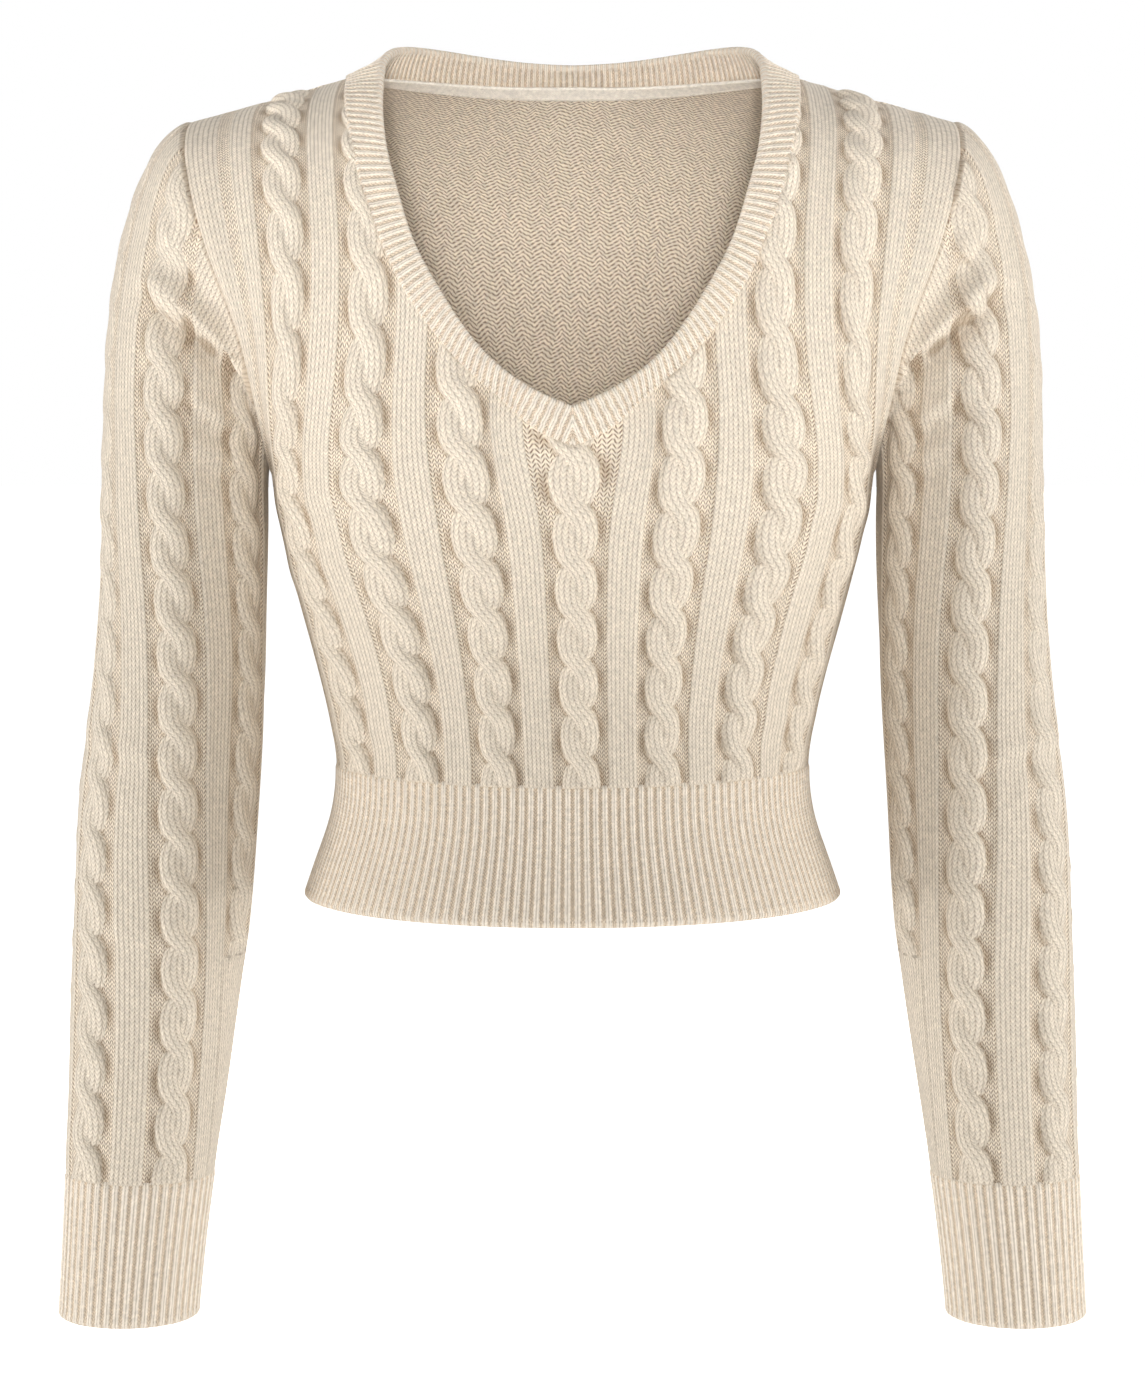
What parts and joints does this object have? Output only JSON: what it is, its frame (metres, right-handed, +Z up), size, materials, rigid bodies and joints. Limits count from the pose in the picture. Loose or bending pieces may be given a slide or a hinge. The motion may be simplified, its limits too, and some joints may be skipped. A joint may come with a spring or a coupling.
{
  "type": "cropped knit sweater",
  "caption": "Cropped V-neck cable-knit sweater with long set-in sleeves, ribbed neckband, wide ribbed hem and cuffs, filled out as if worn.",
  "frame": {"origin": "on the middle plane, level with the tips of the shoulder seams, where the wearer's shoulders carry the garment", "axes": "+Z up, -Y the way the front faces, +X the wearer's left"},
  "size_m": [0.5148, 0.2282, 0.6297],
  "materials": {
    "cable_knit": "soft matt cream yarn, cable knit",
    "rib_knit": "soft matt cream yarn, ribbed knit",
    "neck_tape": "matt cream cotton tape with two lines of stitching"
  },
  "bodies": {
    "root": {"front": "cable_knit", "back": "cable_knit", "sleeve_left": "cable_knit", "sleeve_right": "cable_knit", "hem_front": "rib_knit", "hem_back": "rib_knit", "cuff_left": "rib_knit", "cuff_right": "rib_knit", "neckband": "rib_knit", "neck_tape": "neck_tape"}
  },
  "joints": []
}
